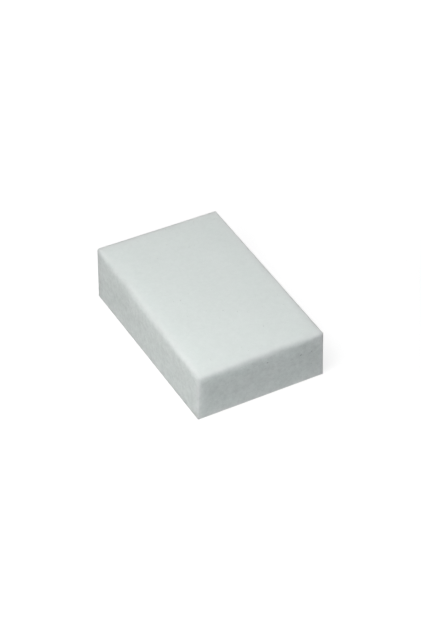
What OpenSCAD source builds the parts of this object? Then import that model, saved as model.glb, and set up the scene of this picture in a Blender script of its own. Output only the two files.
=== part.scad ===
/* [Block] */
// Length of the block, from the near end to the far end
block_length = 101.6; // [60:0.1:200]
// Width of the block, from one long side to the other
block_width = 63.5; // [30:0.1:120]
// Thickness at the far end, where the cut ran a little high
far_thickness = 26.4; // [15:0.1:60]
// Thickness at the near end
near_thickness = 24.4; // [15:0.1:60]

/* [Arrises] */
// Radius of the soft arrises round the top face
top_arris = 1; // [0.3:0.1:4]
// Radius of the four upright arrises
upright_arris = 0.8; // [0.3:0.1:4]
// Radius of the soft arrises round the face that rests
base_arris = 0.6; // [0.3:0.1:4]

/* [Hidden] */
$fn = 64;
// Angle at which the top face climbs to the far end
top_slope = atan((far_thickness - near_thickness) / block_length);
// Height of the top face above the origin
mid_thickness = (far_thickness + near_thickness) / 2;
// How far each outline is carried past the block, so that only its own sides cut the foam
overrun = 2 * (far_thickness + near_thickness);
// The sloping arrises stand this much above the top face, so that the side view alone cuts that face
face_gap = 0.0005;

function unit(v) = v / norm(v);

// The four corners of a rectangle about the origin, in order round it
function rectangle(x, y) = [[-x, -y] / 2, [x, -y] / 2, [x, y] / 2, [-x, y] / 2];

// Half of the angle between the two sides that meet at a corner
function half_angle(before, here, after) = acos(unit(before - here) * unit(after - here)) / 2;

// The outline of a convex shape, with an arc of its own radius at each corner that touches both sides
module soft_outline(corners, radii) {
    count = len(corners);
    last = count - 1;
    straight_ends = [
        for (i = [0:last])
            let (before = corners[(i + last) % count])
            let (here = corners[i])
            let (after = corners[(i + 1) % count])
            let (reach = radii[i] / tan(half_angle(before, here, after)))
            each [here + unit(before - here) * reach, here + unit(after - here) * reach]
    ];
    polygon(straight_ends);
    for (i = [0:last]) {
        before = corners[(i + last) % count];
        here = corners[i];
        after = corners[(i + 1) % count];
        inward = unit(unit(before - here) + unit(after - here));
        arc_depth = radii[i] / sin(half_angle(before, here, after));
        translate(here + inward * arc_depth)
            circle(radii[i]);
    }
}

// A rectangle about the origin with the same arc at each corner
module soft_rectangle(x, y, radius) {
    soft_outline(rectangle(x, y), [radius, radius, radius, radius]);
}

// The view from above, carried up past the top face: the two long sides and the upright arrises
module plan_body() {
    linear_extrude(overrun)
        soft_rectangle(block_width, block_length, upright_arris);
}

// The view from a long side, carried across the width: the two ends, the base and the sloping top
module side_body() {
    corners = [
        [-block_length / 2, 0],
        [block_length / 2, 0],
        [block_length / 2, far_thickness],
        [-block_length / 2, near_thickness]
    ];
    rotate([90, 0, 90])
        linear_extrude(block_width + overrun, center = true)
        soft_outline(corners, [base_arris, base_arris, top_arris, top_arris]);
}

// The view from an end, carried along the block: a long bar with the given arris down its sides
module end_bar(radius) {
    rotate([90, 0, 0])
        linear_extrude(block_length + overrun, center = true)
        soft_rectangle(block_width, overrun, radius);
}

// The block is what its views have in common, so each arris is a true arc and the corners blend
module foam_block() {
    color([0.86, 0.88, 0.87])
    intersection() {
        plan_body();
        side_body();
        translate([0, 0, overrun / 2])
            end_bar(base_arris);
        translate([0, 0, mid_thickness + face_gap])
            rotate([top_slope, 0, 0])
            translate([0, 0, -overrun / 2])
            end_bar(top_arris);
    }
}

foam_block();
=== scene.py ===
# %% [markdown]
# # A white foam cleaning block
#
# The object is one rectangular block of melamine foam, cut with a knife from a bigger block. It has
# no cover, no seam and no second layer, so all of its looks lie in one skin: faces that are a little
# out of true, arrises that are soft to the eye, very fine cells, a few pinholes, and light that
# soaks some way into the foam before it comes back.
#
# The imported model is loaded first. It is the fixed frame that the modelled block has to fill, in
# metres, with Z up and the block's length along Y.

# %% Load the frame
import math
import random

import bmesh
import bpy
from mathutils import Euler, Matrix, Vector


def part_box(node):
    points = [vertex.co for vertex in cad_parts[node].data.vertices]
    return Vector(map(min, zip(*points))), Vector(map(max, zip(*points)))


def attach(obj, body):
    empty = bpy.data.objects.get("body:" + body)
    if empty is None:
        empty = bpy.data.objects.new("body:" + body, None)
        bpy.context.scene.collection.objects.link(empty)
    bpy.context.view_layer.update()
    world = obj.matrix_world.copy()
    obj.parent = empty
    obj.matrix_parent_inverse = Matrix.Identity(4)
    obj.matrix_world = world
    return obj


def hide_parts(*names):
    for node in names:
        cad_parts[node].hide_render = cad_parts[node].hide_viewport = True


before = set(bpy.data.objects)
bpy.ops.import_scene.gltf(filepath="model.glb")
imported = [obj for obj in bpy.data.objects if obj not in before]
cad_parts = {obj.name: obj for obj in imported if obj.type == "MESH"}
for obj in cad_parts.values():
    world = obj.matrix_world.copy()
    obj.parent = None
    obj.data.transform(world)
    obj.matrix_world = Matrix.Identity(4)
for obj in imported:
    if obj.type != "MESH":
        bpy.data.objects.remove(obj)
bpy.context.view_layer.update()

MM = 0.001
LOW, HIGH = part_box("foam_block")
SIZE = HIGH - LOW
CENTRE = (LOW + HIGH) / 2
print("frame block, mm:", [round(side / MM, 2) for side in SIZE])

# %% [markdown]
# ## Small helpers for edit mode
#
# By hand, the steps below would be clicks: pick an edge, pick a vertex, run a tool. In a script the
# picking is done by a test on each vertex or edge, such as where it lies or the way it runs.
# Everything is deselected first, because a tool acts on all that is selected.

# %% Picking objects, vertices and edges
def pick_only(obj):
    """Selects one object alone and makes it the active one."""
    bpy.ops.object.select_all(action="DESELECT")
    obj.select_set(True)
    bpy.context.view_layer.objects.active = obj


def select_in_edit(obj, kind, wanted):
    """In edit mode, selects only the vertices or edges that pass a test."""
    bpy.ops.mesh.select_mode(type=kind)
    bpy.ops.mesh.select_all(action="DESELECT")
    mesh = bmesh.from_edit_mesh(obj.data)
    parts = mesh.verts if kind == "VERT" else mesh.edges
    for part in parts:
        part.select_set(wanted(part))
    bmesh.update_edit_mesh(obj.data)


def apply_modifier(obj, modifier):
    """Makes a modifier's result the mesh itself."""
    pick_only(obj)
    bpy.ops.object.modifier_apply(modifier=modifier.name)


# %% [markdown]
# ## The blank: a cube with softened arrises
#
# The blank starts as a cube of the block's size. A knife leaves the arrises of foam almost sharp,
# and fingers then rub some of them soft. So each of the twelve edges gets a bevel weight, and one
# Bevel modifier turns the weights into arcs of different radius that still blend at the corners.
# Beveling by hand edge after edge would leave creases where the arcs meet.
#
# An edge of a box lies between two of its sides, so it is named here by the way those sides face:
# (-1, 0, 1) is the edge between the left side and the top, and (0, -1, 1) is the near top one.

# %% Make the blank and bevel its edges
RUBBED = 1.2 * MM
NEAR_UPRIGHT = 0.6 * MM
CRISP = 0.6 * MM
FOOT = 0.25 * MM
ARRISES = {
    (-1, 0, 1): RUBBED,
    (0, -1, 1): RUBBED,
    (-1, -1, 0): NEAR_UPRIGHT,
    (1, 0, 1): CRISP,
    (0, 1, 1): CRISP,
    (1, -1, 0): CRISP,
    (-1, 1, 0): CRISP,
    (1, 1, 0): CRISP,
    (-1, 0, -1): FOOT,
    (1, 0, -1): FOOT,
    (0, -1, -1): FOOT,
    (0, 1, -1): FOOT,
}
ARC_STEPS = 4
# How far an edge may lie from its place, as a share of half the block
TOLERANCE = 0.01

bpy.ops.object.select_all(action="DESELECT")
bpy.ops.mesh.primitive_cube_add(size=1, location=CENTRE, scale=SIZE)
block = bpy.context.object
block.name = "foam_block_skin"
bpy.ops.object.transform_apply(location=True, rotation=False, scale=True)


def lies_by(sides):
    """A test for the one edge that lies between two sides of the block."""
    def test(edge):
        middle = (edge.verts[0].co + edge.verts[1].co) / 2 - CENTRE
        gaps = [abs(2 * offset / side - way) for offset, side, way in zip(middle, SIZE, sides)]
        return max(gaps) < TOLERANCE
    return test


bpy.ops.object.mode_set(mode="EDIT")
for sides, radius in ARRISES.items():
    select_in_edit(block, "EDGE", lies_by(sides))
    bpy.ops.transform.edge_bevelweight(value=radius / RUBBED)
bpy.ops.object.mode_set(mode="OBJECT")

arrises = block.modifiers.new("arrises", "BEVEL")
arrises.limit_method = "WEIGHT"
arrises.width = RUBBED
arrises.segments = ARC_STEPS
apply_modifier(block, arrises)
print("blank with arrises:", len(block.data.polygons), "faces")

# %% [markdown]
# ## Cutting the faces into small squares
#
# The fine unevenness and the pinholes need a dense, even mesh. Subdividing whole faces would cut
# each side the same number of times and leave long thin cells, so the edges that run along one
# axis are subdivided by themselves. That sends a ring of cuts round the block, as a loop cut does.
# Each axis takes two goes, one cut in the middle and then all the others in both halves, because the
# tool makes no more than a hundred cuts at a time.

# %% Send rings of cuts round the block along each axis
CELL = 0.8 * MM
LONG_EDGE = 5 * MM
# Least share of an edge's length that lies along the axis
STRAIGHT = 0.999


def runs_along(axis):
    """A test for the long straight edges that run along one axis: 0 is X, 1 is Y and 2 is Z."""
    def test(edge):
        span = edge.verts[1].co - edge.verts[0].co
        return span.length > LONG_EDGE and abs(span[axis]) > STRAIGHT * span.length
    return test


bpy.ops.object.mode_set(mode="EDIT")
for axis in (1, 0, 2):
    select_in_edit(block, "EDGE", runs_along(axis))
    bpy.ops.mesh.subdivide(number_cuts=1)
    select_in_edit(block, "EDGE", runs_along(axis))
    bpy.ops.mesh.subdivide(number_cuts=round(SIZE[axis] / 2 / CELL) - 1)
bpy.ops.object.mode_set(mode="OBJECT")
print("cut blank:", len(block.data.polygons), "faces")

# %% [markdown]
# ## Rubbing two of the top arrises
#
# Handling has worn two arrises of the top softer than any arc: the one along the left side and the
# one at the near end. A bigger bevel would draw a line where its arc starts, and worn foam has no
# such line. A Smooth modifier pulls each vertex towards its neighbours, again and again, and so it
# wears the arris away much as fingers do. A vertex group tells it where, which by hand would be
# weight painting. The weight is full by the arris and falls to nothing a few millimetres into the
# faces. The two arrises meet at the near left corner, and at its other end, where the corner is
# still crisp, each one's weight fades out. Along the left side it also climbs towards the far end,
# where the wear is greatest. Once the modifier is applied, the group has done its work and is
# removed.

# %% Rub the left and the near arris of the top softer
RUB_REACH = 8 * MM
RUB_FADE = 16 * MM
RUB_PASSES = 100
RUB_PULL = 0.5
LEFT_RUB_NEAR = 0.6
FRONT_RUB = 0.6


def climb(value, start, end):
    """Rises smoothly from 0 at the start to 1 at the end."""
    share = min(max((value - start) / (end - start), 0), 1)
    return share * share * (3 - 2 * share)


rubbed = block.vertex_groups.new(name="rubbed")
rubbed_count = 0
for vert in block.data.vertices:
    from_left = vert.co.x - LOW.x
    from_front = vert.co.y - LOW.y
    from_top = HIGH.z - vert.co.z
    left_rub = climb(math.hypot(from_left, from_top), RUB_REACH, RUB_REACH / 2)
    left_rub *= climb(vert.co.y, HIGH.y, HIGH.y - RUB_FADE)
    left_rub *= LEFT_RUB_NEAR + (1 - LEFT_RUB_NEAR) * climb(vert.co.y, LOW.y / 2, HIGH.y / 2)
    front_rub = FRONT_RUB * climb(math.hypot(from_front, from_top), RUB_REACH, RUB_REACH / 2)
    front_rub *= climb(vert.co.x, HIGH.x, HIGH.x - RUB_FADE)
    weight = max(left_rub, front_rub)
    if weight > 0:
        rubbed.add([vert.index], weight, "REPLACE")
        rubbed_count += 1
rub = block.modifiers.new("rub", "SMOOTH")
rub.vertex_group = rubbed.name
rub.factor = RUB_PULL
rub.iterations = RUB_PASSES
apply_modifier(block, rub)
block.vertex_groups.clear()
print("rubbed:", rubbed_count, "of", len(block.data.vertices), "vertices")

# %% [markdown]
# ## Pinholes
#
# Where a bubble of the foam was larger than the rest, the knife leaves a pinhole. Each one is a
# real dent. Beveling a single vertex of the grid, with segments, gives a small round patch, and
# insetting that patch inwards sinks it. The few pinholes that the photograph shows are put at the
# nearest grid points, and the rest are spread at random from a fixed seed, so each run gives the
# same block. The floor of each dent is marked in an attribute, and the material paints shade there,
# because little light gets out of it.

# %% Dent the pinholes
PIN_SEED = 11
PIN_TAPER = 0.06
PIN_STEPS = 3
# Each pinhole of the photograph: its place, then the radius of its mouth and its depth, all in mm
SEEN_PINS = (
    ((20, -50.8, 17), 0.75, 0.35),
    ((3, -50.8, 20.5), 0.75, 0.35),
    ((26, -50.8, 17), 0.6, 0.3),
    ((-14, -0.5, 25.4), 0.45, 0.25),
    ((10, -34, 25), 0.4, 0.2),
    ((-0.5, -15.5, 25), 0.45, 0.2),
)
# The others: how many, with their radius and depth in mm
OTHER_PINS = ((60, 0.3, 0.15), (30, 0.35, 0.25))
# A whole cell has at least this share of a full square's area, and its normal lies along an axis
WHOLE_CELL = 0.8
FACES_AN_AXIS = 0.995

draw = random.Random(PIN_SEED)
block.data.attributes.new("pinhole", "FLOAT", "POINT")


def is_cell(face):
    """A square cell of one of the faces, and not a sliver of an arris or a part of a dent."""
    whole = face.calc_area() > WHOLE_CELL * CELL * CELL
    return whole and len(face.verts) == 4 and max(map(abs, face.normal)) > FACES_AN_AXIS


def is_amid_cells(vert):
    """A vertex with whole cells on all four sides."""
    return len(vert.link_faces) == 4 and all(map(is_cell, vert.link_faces))


def grid_points():
    """Numbers the vertices of the mesh in edit mode and gives the places of those amid four cells."""
    mesh = bmesh.from_edit_mesh(block.data)
    mesh.verts.index_update()
    return {vert.index: vert.co.copy() for vert in mesh.verts if is_amid_cells(vert)}


def dent(chosen, radius, depth):
    """Bevels the chosen vertices to round patches, sinks them and marks the floor of each for painted
    shade.
    """
    select_in_edit(block, "VERT", lambda vert: vert.index in chosen)
    bpy.ops.mesh.bevel(offset=radius * MM, segments=PIN_STEPS, affect="VERTICES")
    bpy.ops.mesh.inset(thickness=PIN_TAPER * MM, depth=-depth * MM)
    mesh = bmesh.from_edit_mesh(block.data)
    layer = mesh.verts.layers.float["pinhole"]
    for vert in mesh.verts:
        if vert.select:
            vert[layer] = 1
    bmesh.update_edit_mesh(block.data)


bpy.ops.object.mode_set(mode="EDIT")
for place, radius, depth in SEEN_PINS:
    points = grid_points()
    nearest = min(points, key=lambda number: (points[number] - Vector(place) * MM).length)
    dent([nearest], radius, depth)
for amount, radius, depth in OTHER_PINS:
    dent(set(draw.sample(sorted(grid_points()), amount)), radius, depth)
bpy.ops.object.mode_set(mode="OBJECT")
pin_count = len(SEEN_PINS) + sum(amount for amount, radius, depth in OTHER_PINS)
print("pinholes:", pin_count, "and", len(block.data.polygons), "faces")

# %% [markdown]
# ## Out of true
#
# A block cut by hand from soft foam is never quite square. The whole mesh is put in a lattice with
# one point at each of the block's corners, and those points are moved by a millimetre or so. The
# lattice carries everything in between along in straight lines, arrises and pinholes too.

# %% Move the corners with a lattice
# Each key names a corner, low (0) or high (1) along X, Y and Z, with its shift in mm along X, Y and Z
CORNER_SHIFTS = {
    (0, 0, 1): (-0.1, -0.3, -1.9),
    (1, 0, 1): (-0.1, -0.1, -1.9),
    (0, 1, 1): (0.6, 0.2, 0.9),
    (1, 1, 1): (0, 0.2, -0.1),
    (0, 0, 0): (-0.4, 0.4, 0),
    (1, 0, 0): (0.3, 0.2, 0),
    (0, 1, 0): (-0.4, -0.6, 0),
}

bpy.ops.object.select_all(action="DESELECT")
bpy.ops.object.add(type="LATTICE", location=CENTRE)
cage = bpy.context.object
cage.scale = SIZE
for direction in "uvw":
    setattr(cage.data, f"interpolation_type_{direction}", "KEY_LINEAR")
for point in cage.data.points:
    corner = tuple(int(offset > 0) for offset in point.co)
    shift = CORNER_SHIFTS.get(corner, (0, 0, 0))
    point.co_deform = [offset + move * MM / side for offset, move, side in zip(point.co, shift, SIZE)]
bpy.context.view_layer.update()
true_form = block.modifiers.new("true form", "LATTICE")
true_form.object = cage
apply_modifier(block, true_form)
bpy.data.objects.remove(cage)
print("highest corner, mm:", round(max(vert.co.z for vert in block.data.vertices) / MM, 2))

# %% [markdown]
# ## Where the foam looks mottled
#
# The four narrow sides of the block look more mottled than its two broad faces. One noise in the
# material would mottle them all alike, so each vertex gets a number that the material can read: 0
# on the broad faces and 1 on the sides, taken from the way its normal points. Such a number is an
# attribute, and it stays with the mesh wherever the block goes.

# %% Mark the narrow sides
side_shares = [1 - abs(vert.normal.z) for vert in block.data.vertices]
block.data.attributes.new("sides", "FLOAT", "POINT").data.foreach_set("value", side_shares)
print("share of the mesh on the sides:", round(sum(side_shares) / len(side_shares), 2))

# %% [markdown]
# ## Fine unevenness
#
# Even a clean cut through foam isn't a plane: the blade tears some cells and presses others. Two
# Displace modifiers push the skin in and out along its normals, one by the slow waver of the knife
# and one by the grain of the cells. The face that the block rests on is left out, so that it
# still lies flat.

# %% Push the skin in and out
# How far each one pushes, and how wide its bumps are
WAVER = (0.05 * MM, 14 * MM)
GRAIN = (0.05 * MM, 1.3 * MM)

above_base = block.vertex_groups.new(name="above_base")
above_base.add([vert.index for vert in block.data.vertices if vert.co.z > FOOT], 1, "REPLACE")
for name, (height, width) in (("waver", WAVER), ("grain", GRAIN)):
    pattern = bpy.data.textures.new(name, "CLOUDS")
    pattern.noise_scale = width
    push = block.modifiers.new(name, "DISPLACE")
    push.texture = pattern
    push.texture_coords = "LOCAL"
    push.direction = "NORMAL"
    push.strength = height
    push.vertex_group = above_base.name
    apply_modifier(block, push)
block.vertex_groups.clear()
pick_only(block)
bpy.ops.object.shade_smooth()
print("finished skin:", len(block.data.polygons), "faces")

# %% [markdown]
# ## A way to write shaders
#
# A material is a net of nodes. Written out link by link it hides what it works out, so one small
# class wraps a node's output and lets plain Python sums add the Math nodes, and one method adds
# any other node from its type, its settings and what goes into its sockets.

# %% Shader maths as Python
class Wire:
    """One output of a node. A sum written with it adds a Math node to its recipe."""

    def __init__(self, recipe, socket):
        self.recipe = recipe
        self.socket = socket

    def math(self, operation, other, swapped=False):
        """Adds one Math node. Swapped, the other value comes first."""
        first, second = (other, self) if swapped else (self, other)
        return self.recipe.node("ShaderNodeMath", {"operation": operation}, {0: first, 1: second})

    def __add__(self, other):
        return self.math("ADD", other)

    def __sub__(self, other):
        return self.math("SUBTRACT", other)

    def __rsub__(self, other):
        return self.math("SUBTRACT", other, swapped=True)

    def __mul__(self, other):
        return self.math("MULTIPLY", other)

    __radd__ = __add__
    __rmul__ = __mul__


class Recipe:
    """A material or world whose node tree is written as Python."""

    def __init__(self, holder):
        self.holder = holder
        holder.use_nodes = True
        self.tree = holder.node_tree
        self.tree.nodes.clear()

    def node(self, kind, settings=None, inputs=None, output=0):
        """Adds a node: its settings first, then what each input holds or is linked to."""
        made = self.tree.nodes.new(kind)
        for name, value in (settings or {}).items():
            setattr(made, name, value)
        for name, value in (inputs or {}).items():
            if isinstance(value, Wire):
                self.tree.links.new(value.socket, made.inputs[name])
            else:
                made.inputs[name].default_value = value
        return Wire(self, made.outputs[output]) if made.outputs else made

    def background_rays(self):
        """1 for rays that see the background itself: from the camera, off a mirror or through glass."""
        kinds = ("Is Camera Ray", "Is Glossy Ray", "Is Transmission Ray")
        return sum(self.node("ShaderNodeLightPath", output=kind) for kind in kinds).math("MINIMUM", 1)

    def blend(self, share, first, second):
        """A colour between two others."""
        settings = {"data_type": "RGBA"}
        return self.node("ShaderNodeMix", settings, {0: share, 6: first, 7: second}, output=2)


# %% [markdown]
# ## The foam
#
# Melamine foam is a white lattice of tiny struts. It is fully matt, and light goes into it and
# comes out several millimetres further on, which softens the arrises to the eye more than their
# radius does. So the shader is subsurface scattering throughout, with no gloss to speak of. The
# cells are too small for geometry: a cell pattern and a fine noise feed the bump. The same noise
# and a wider one shift the white between a pale and a dull tone, a little on the broad faces and
# more on the sides.

# %% Mix the foam material
FOAM_PALE = (0.855, 0.91, 0.885, 1)
FOAM_DULL = (0.695, 0.745, 0.725, 1)
# Painted shade for the floors of the pinholes, not a colour of the foam
PINHOLE_PAINTED_SHADE = (0.5, 0.53, 0.52, 1)
GRAIN_PER_M = 350
PATCHES_PER_M = 60
CELLS_PER_M = 2300
TOP_CONTRAST = 0.8
SIDE_CONTRAST = 2.1
# The grain's share of the mottling, of which the patches make up the rest
GRAIN_SHARE = 0.75
# The cells' share of the relief, of which the grain makes up the rest
CELL_SHARE = 0.5
# The value about which the noises vary
MIDDLE = 0.5
BUMP_DEPTH = 0.15 * MM
SOAK = 7 * MM

foam = Recipe(bpy.data.materials.new("melamine_foam"))
spot = foam.node("ShaderNodeTexCoord", output="Object")
grain = foam.node("ShaderNodeTexNoise", {}, {
    "Vector": spot,
    "Scale": GRAIN_PER_M,
    "Detail": 3.0,
    "Roughness": 0.9,
})
patches = foam.node("ShaderNodeTexNoise", {}, {"Vector": spot, "Scale": PATCHES_PER_M, "Detail": 1.0})
cells = foam.node("ShaderNodeTexVoronoi", {}, {"Vector": spot, "Scale": CELLS_PER_M}, output="Distance")
on_sides = foam.node("ShaderNodeAttribute", {"attribute_name": "sides"}, output="Fac")
pinhole = foam.node("ShaderNodeAttribute", {"attribute_name": "pinhole"}, output="Fac")

mottle = grain * GRAIN_SHARE + patches * (1 - GRAIN_SHARE) - MIDDLE
contrast = TOP_CONTRAST + SIDE_CONTRAST * on_sides
shade = foam.blend(MIDDLE + mottle * contrast, FOAM_DULL, FOAM_PALE)
# Painted shade: the floor of each pinhole is darkened, since little light gets out of it
colour = foam.blend(pinhole, shade, PINHOLE_PAINTED_SHADE)
relief = cells * CELL_SHARE + grain * (1 - CELL_SHARE)
bump = foam.node("ShaderNodeBump", {}, {"Strength": 0.35, "Distance": BUMP_DEPTH, "Height": relief})
surface = foam.node("ShaderNodeBsdfPrincipled", {"subsurface_method": "RANDOM_WALK"}, {
    "Base Color": colour,
    "Roughness": 0.95,
    "Normal": bump,
    "Specular IOR Level": 0.2,
    "Subsurface Weight": 1.0,
    "Subsurface Radius": (1.0, 1.0, 1.0),
    "Subsurface Scale": SOAK,
})
foam.node("ShaderNodeOutputMaterial", {}, {"Surface": surface})
block.data.materials.append(foam.holder)
print("foam material:", len(foam.tree.nodes), "nodes")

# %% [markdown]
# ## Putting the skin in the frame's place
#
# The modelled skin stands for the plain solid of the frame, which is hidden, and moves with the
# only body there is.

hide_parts("foam_block")
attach(block, "root")

# %% [markdown]
# ## Floor and backdrop
#
# The block lies on a plain pale floor. More light would turn the ground white, but it would burn
# the foam out too. So the floor's own material turns white, and only for rays that come from the
# camera, off a mirror or through glass. For light that bounces back to the block it stays matt.
# Close to the block it keeps a share of its shading, which is the block's shadow, and further out
# it is white altogether.
#
# Under the block the floor has a window of the block's own size, as a light table has. A lamp below
# it lights the underside, so that the foot of the foam glows a little, as the real one does on a
# bright table, and doesn't go dark. The window is made as by hand: inset the plane, scale the inner
# face to the size of the block, and delete it.

# %% Lay the floor
FLOOR_SIDE = 6.0
FLOOR_COLOUR = (0.9, 0.9, 0.9, 1)
INNER_SIDE = 3.0
WINDOW = SIZE.xy
SHADOW_SHARE = 0.4
SHADOW_REACH = 0.22
FLOOR_GLOW = 1.3

bpy.ops.object.select_all(action="DESELECT")
bpy.ops.mesh.primitive_plane_add(size=FLOOR_SIDE, location=(0, 0, 0))
floor = bpy.context.object
floor.name = "floor"
bpy.ops.object.mode_set(mode="EDIT")
bpy.ops.mesh.select_all(action="SELECT")
bpy.ops.mesh.inset(thickness=(FLOOR_SIDE - INNER_SIDE) / 2)
bpy.ops.transform.resize(value=(WINDOW.x / INNER_SIDE, WINDOW.y / INNER_SIDE, 1))
bpy.ops.mesh.delete(type="FACE")
bpy.ops.object.mode_set(mode="OBJECT")

ground = Recipe(bpy.data.materials.new("floor"))
matt = ground.node("ShaderNodeBsdfDiffuse", {}, {"Color": FLOOR_COLOUR})
glow = ground.node("ShaderNodeEmission", {}, {"Color": (1, 1, 1, 1), "Strength": FLOOR_GLOW})
spot = ground.node("ShaderNodeTexCoord", output="Object")
away = ground.node("ShaderNodeVectorMath", {"operation": "LENGTH"}, {0: spot}, output="Value")
keeps_shade = ground.node("ShaderNodeMapRange", {}, {
    "Value": away,
    "From Min": SHADOW_REACH / 2,
    "From Max": SHADOW_REACH,
    "To Min": SHADOW_SHARE,
    "To Max": 0.0,
})
whitened = ground.background_rays() * (1 - keeps_shade)
mixed = ground.node("ShaderNodeMixShader", {}, {0: whitened, 1: matt, 2: glow})
ground.node("ShaderNodeOutputMaterial", {}, {"Surface": mixed})
floor.data.materials.append(ground.holder)
print("floor with a window, mm:", [round(side / MM, 2) for side in WINDOW])

# %% [markdown]
# ## Light
#
# Soft shade comes from lamps that are wide next to the block, at half an arm's length from it. Three
# of them hang above and to the left, so that the top gets most light, the long side less and the
# near end least. One behind on the right reaches the top but neither visible side, which keeps the
# arrises from shining. A faint cool one in front tints the near end, and the last one is the lamp
# of the light table, under the window in the floor.
#
# The light of several lamps simply adds up. So each power was found by rendering the block once
# under each lamp alone, and then weighing those pictures against one another. The sky is a white
# backdrop for the camera, for mirrors and for glass, and sheds no light of its own.

# %% Hang the lights
world = bpy.data.worlds.new("studio")
bpy.context.scene.world = world
sky = Recipe(world)
strength = sky.background_rays()
back = sky.node("ShaderNodeBackground", {}, {"Color": (1, 1, 1, 1), "Strength": strength})
sky.node("ShaderNodeOutputWorld", {}, {"Surface": back})


def soft_light(name, place, size, power, colour):
    """A rectangular area light that looks at the block's foot and isn't seen itself."""
    lamp = bpy.data.lights.new(name, "AREA")
    lamp.shape = "RECTANGLE"
    lamp.size, lamp.size_y = size
    lamp.energy = power
    lamp.color = colour
    holder = bpy.data.objects.new(name, lamp)
    holder.location = place
    holder.visible_camera = False
    holder.rotation_euler = (-Vector(place)).to_track_quat("-Z", "Y").to_euler()
    bpy.context.scene.collection.objects.link(holder)


WHITE = (1, 1, 1)
COOL = (0.55, 0.55, 1)
TABLE_DEPTH = 0.5 * MM
# Each lamp: its place and the sides of its face in metres, its power in watts, and its colour
LAMPS = {
    "key": ((-0.15, -0.10, 0.30), (0.2, 0.2), 0.66, WHITE),
    "overhead": ((-0.03, -0.05, 0.40), (0.25, 0.25), 0.26, WHITE),
    "left": ((-0.30, -0.10, 0.50), (0.3, 0.3), 0.38, WHITE),
    "back": ((0.30, 0.30, 0.30), (0.3, 0.3), 0.6, WHITE),
    "front": ((0.10, -0.50, 0.20), (0.2, 0.2), 0.05, COOL),
    "table": ((0, 0, -TABLE_DEPTH), WINDOW, 0.011, WHITE),
}
for name, (place, size, power, colour) in LAMPS.items():
    soft_light(name, place, size, power, colour)
    print("lamp", name, "gives", power, "W")

# %% [markdown]
# ## Camera
#
# The camera looks down at the block's near left corner from about forty degrees up, through a long
# lens, and is rolled by about a degree, as a hand-held camera is. An unturned camera looks straight
# down, so it is tipped up from there, turned to its side of the block and rolled about its own line
# of sight.

# %% Set the camera
# The picture's longer side and the focal length are in pixels, the sensor in mm, the angles in degrees
PICTURE_HEIGHT = 631
SENSOR = 36
FOCAL_PX = 2258
AZIMUTH, ELEVATION, ROLL = -27.47, 39.47, -1.17
DISTANCE = 1047 * MM
SIDESTEP, RISE = 1.02 * MM, 8.33 * MM

camera_data = bpy.data.cameras.new("camera")
camera = bpy.data.objects.new("camera", camera_data)
bpy.context.scene.collection.objects.link(camera)
bpy.context.scene.camera = camera
camera_data.sensor_width = SENSOR
camera_data.lens = FOCAL_PX * SENSOR / PICTURE_HEIGHT
aim = Euler((math.radians(90 - ELEVATION), 0, math.radians(AZIMUTH)), "XYZ").to_matrix()
turn = aim @ Euler((0, 0, math.radians(ROLL)), "XYZ").to_matrix()
camera.rotation_euler = turn.to_euler()
camera.location = turn @ Vector((SIDESTEP, RISE, DISTANCE))
bpy.context.scene.view_settings.view_transform = "Standard"
print("lens, mm:", round(camera_data.lens, 1))
